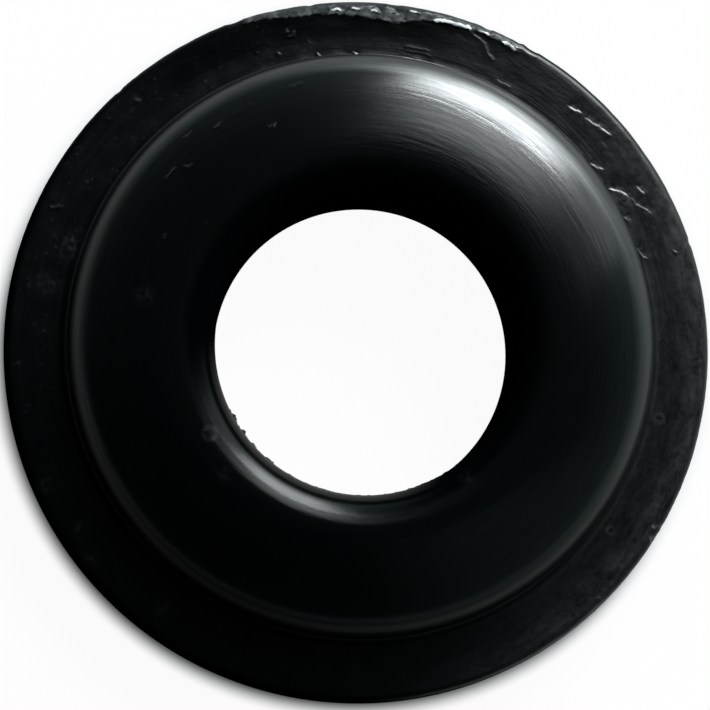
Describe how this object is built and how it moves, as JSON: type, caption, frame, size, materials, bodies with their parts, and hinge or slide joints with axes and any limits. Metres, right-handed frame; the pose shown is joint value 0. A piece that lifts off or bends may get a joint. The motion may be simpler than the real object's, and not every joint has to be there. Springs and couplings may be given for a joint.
{
  "type": "tap washer",
  "caption": "Round black rubber tap washer with a low dome, a stepped shoulder, a flat flange and a rolled-in centre hole.",
  "frame": {"origin": "centre of the flat face that rests on the valve plate, on the axis of the hole", "axes": "+Z along the hole, from the flat face to the crest of the dome; +X and +Y in the flat face"},
  "size_m": [0.019, 0.019, 0.0032],
  "materials": {
    "black_rubber": "semi-gloss moulded rubber, glossier on the dome than on the flange"
  },
  "bodies": {
    "root": {"tap_washer": "black_rubber"}
  },
  "joints": []
}
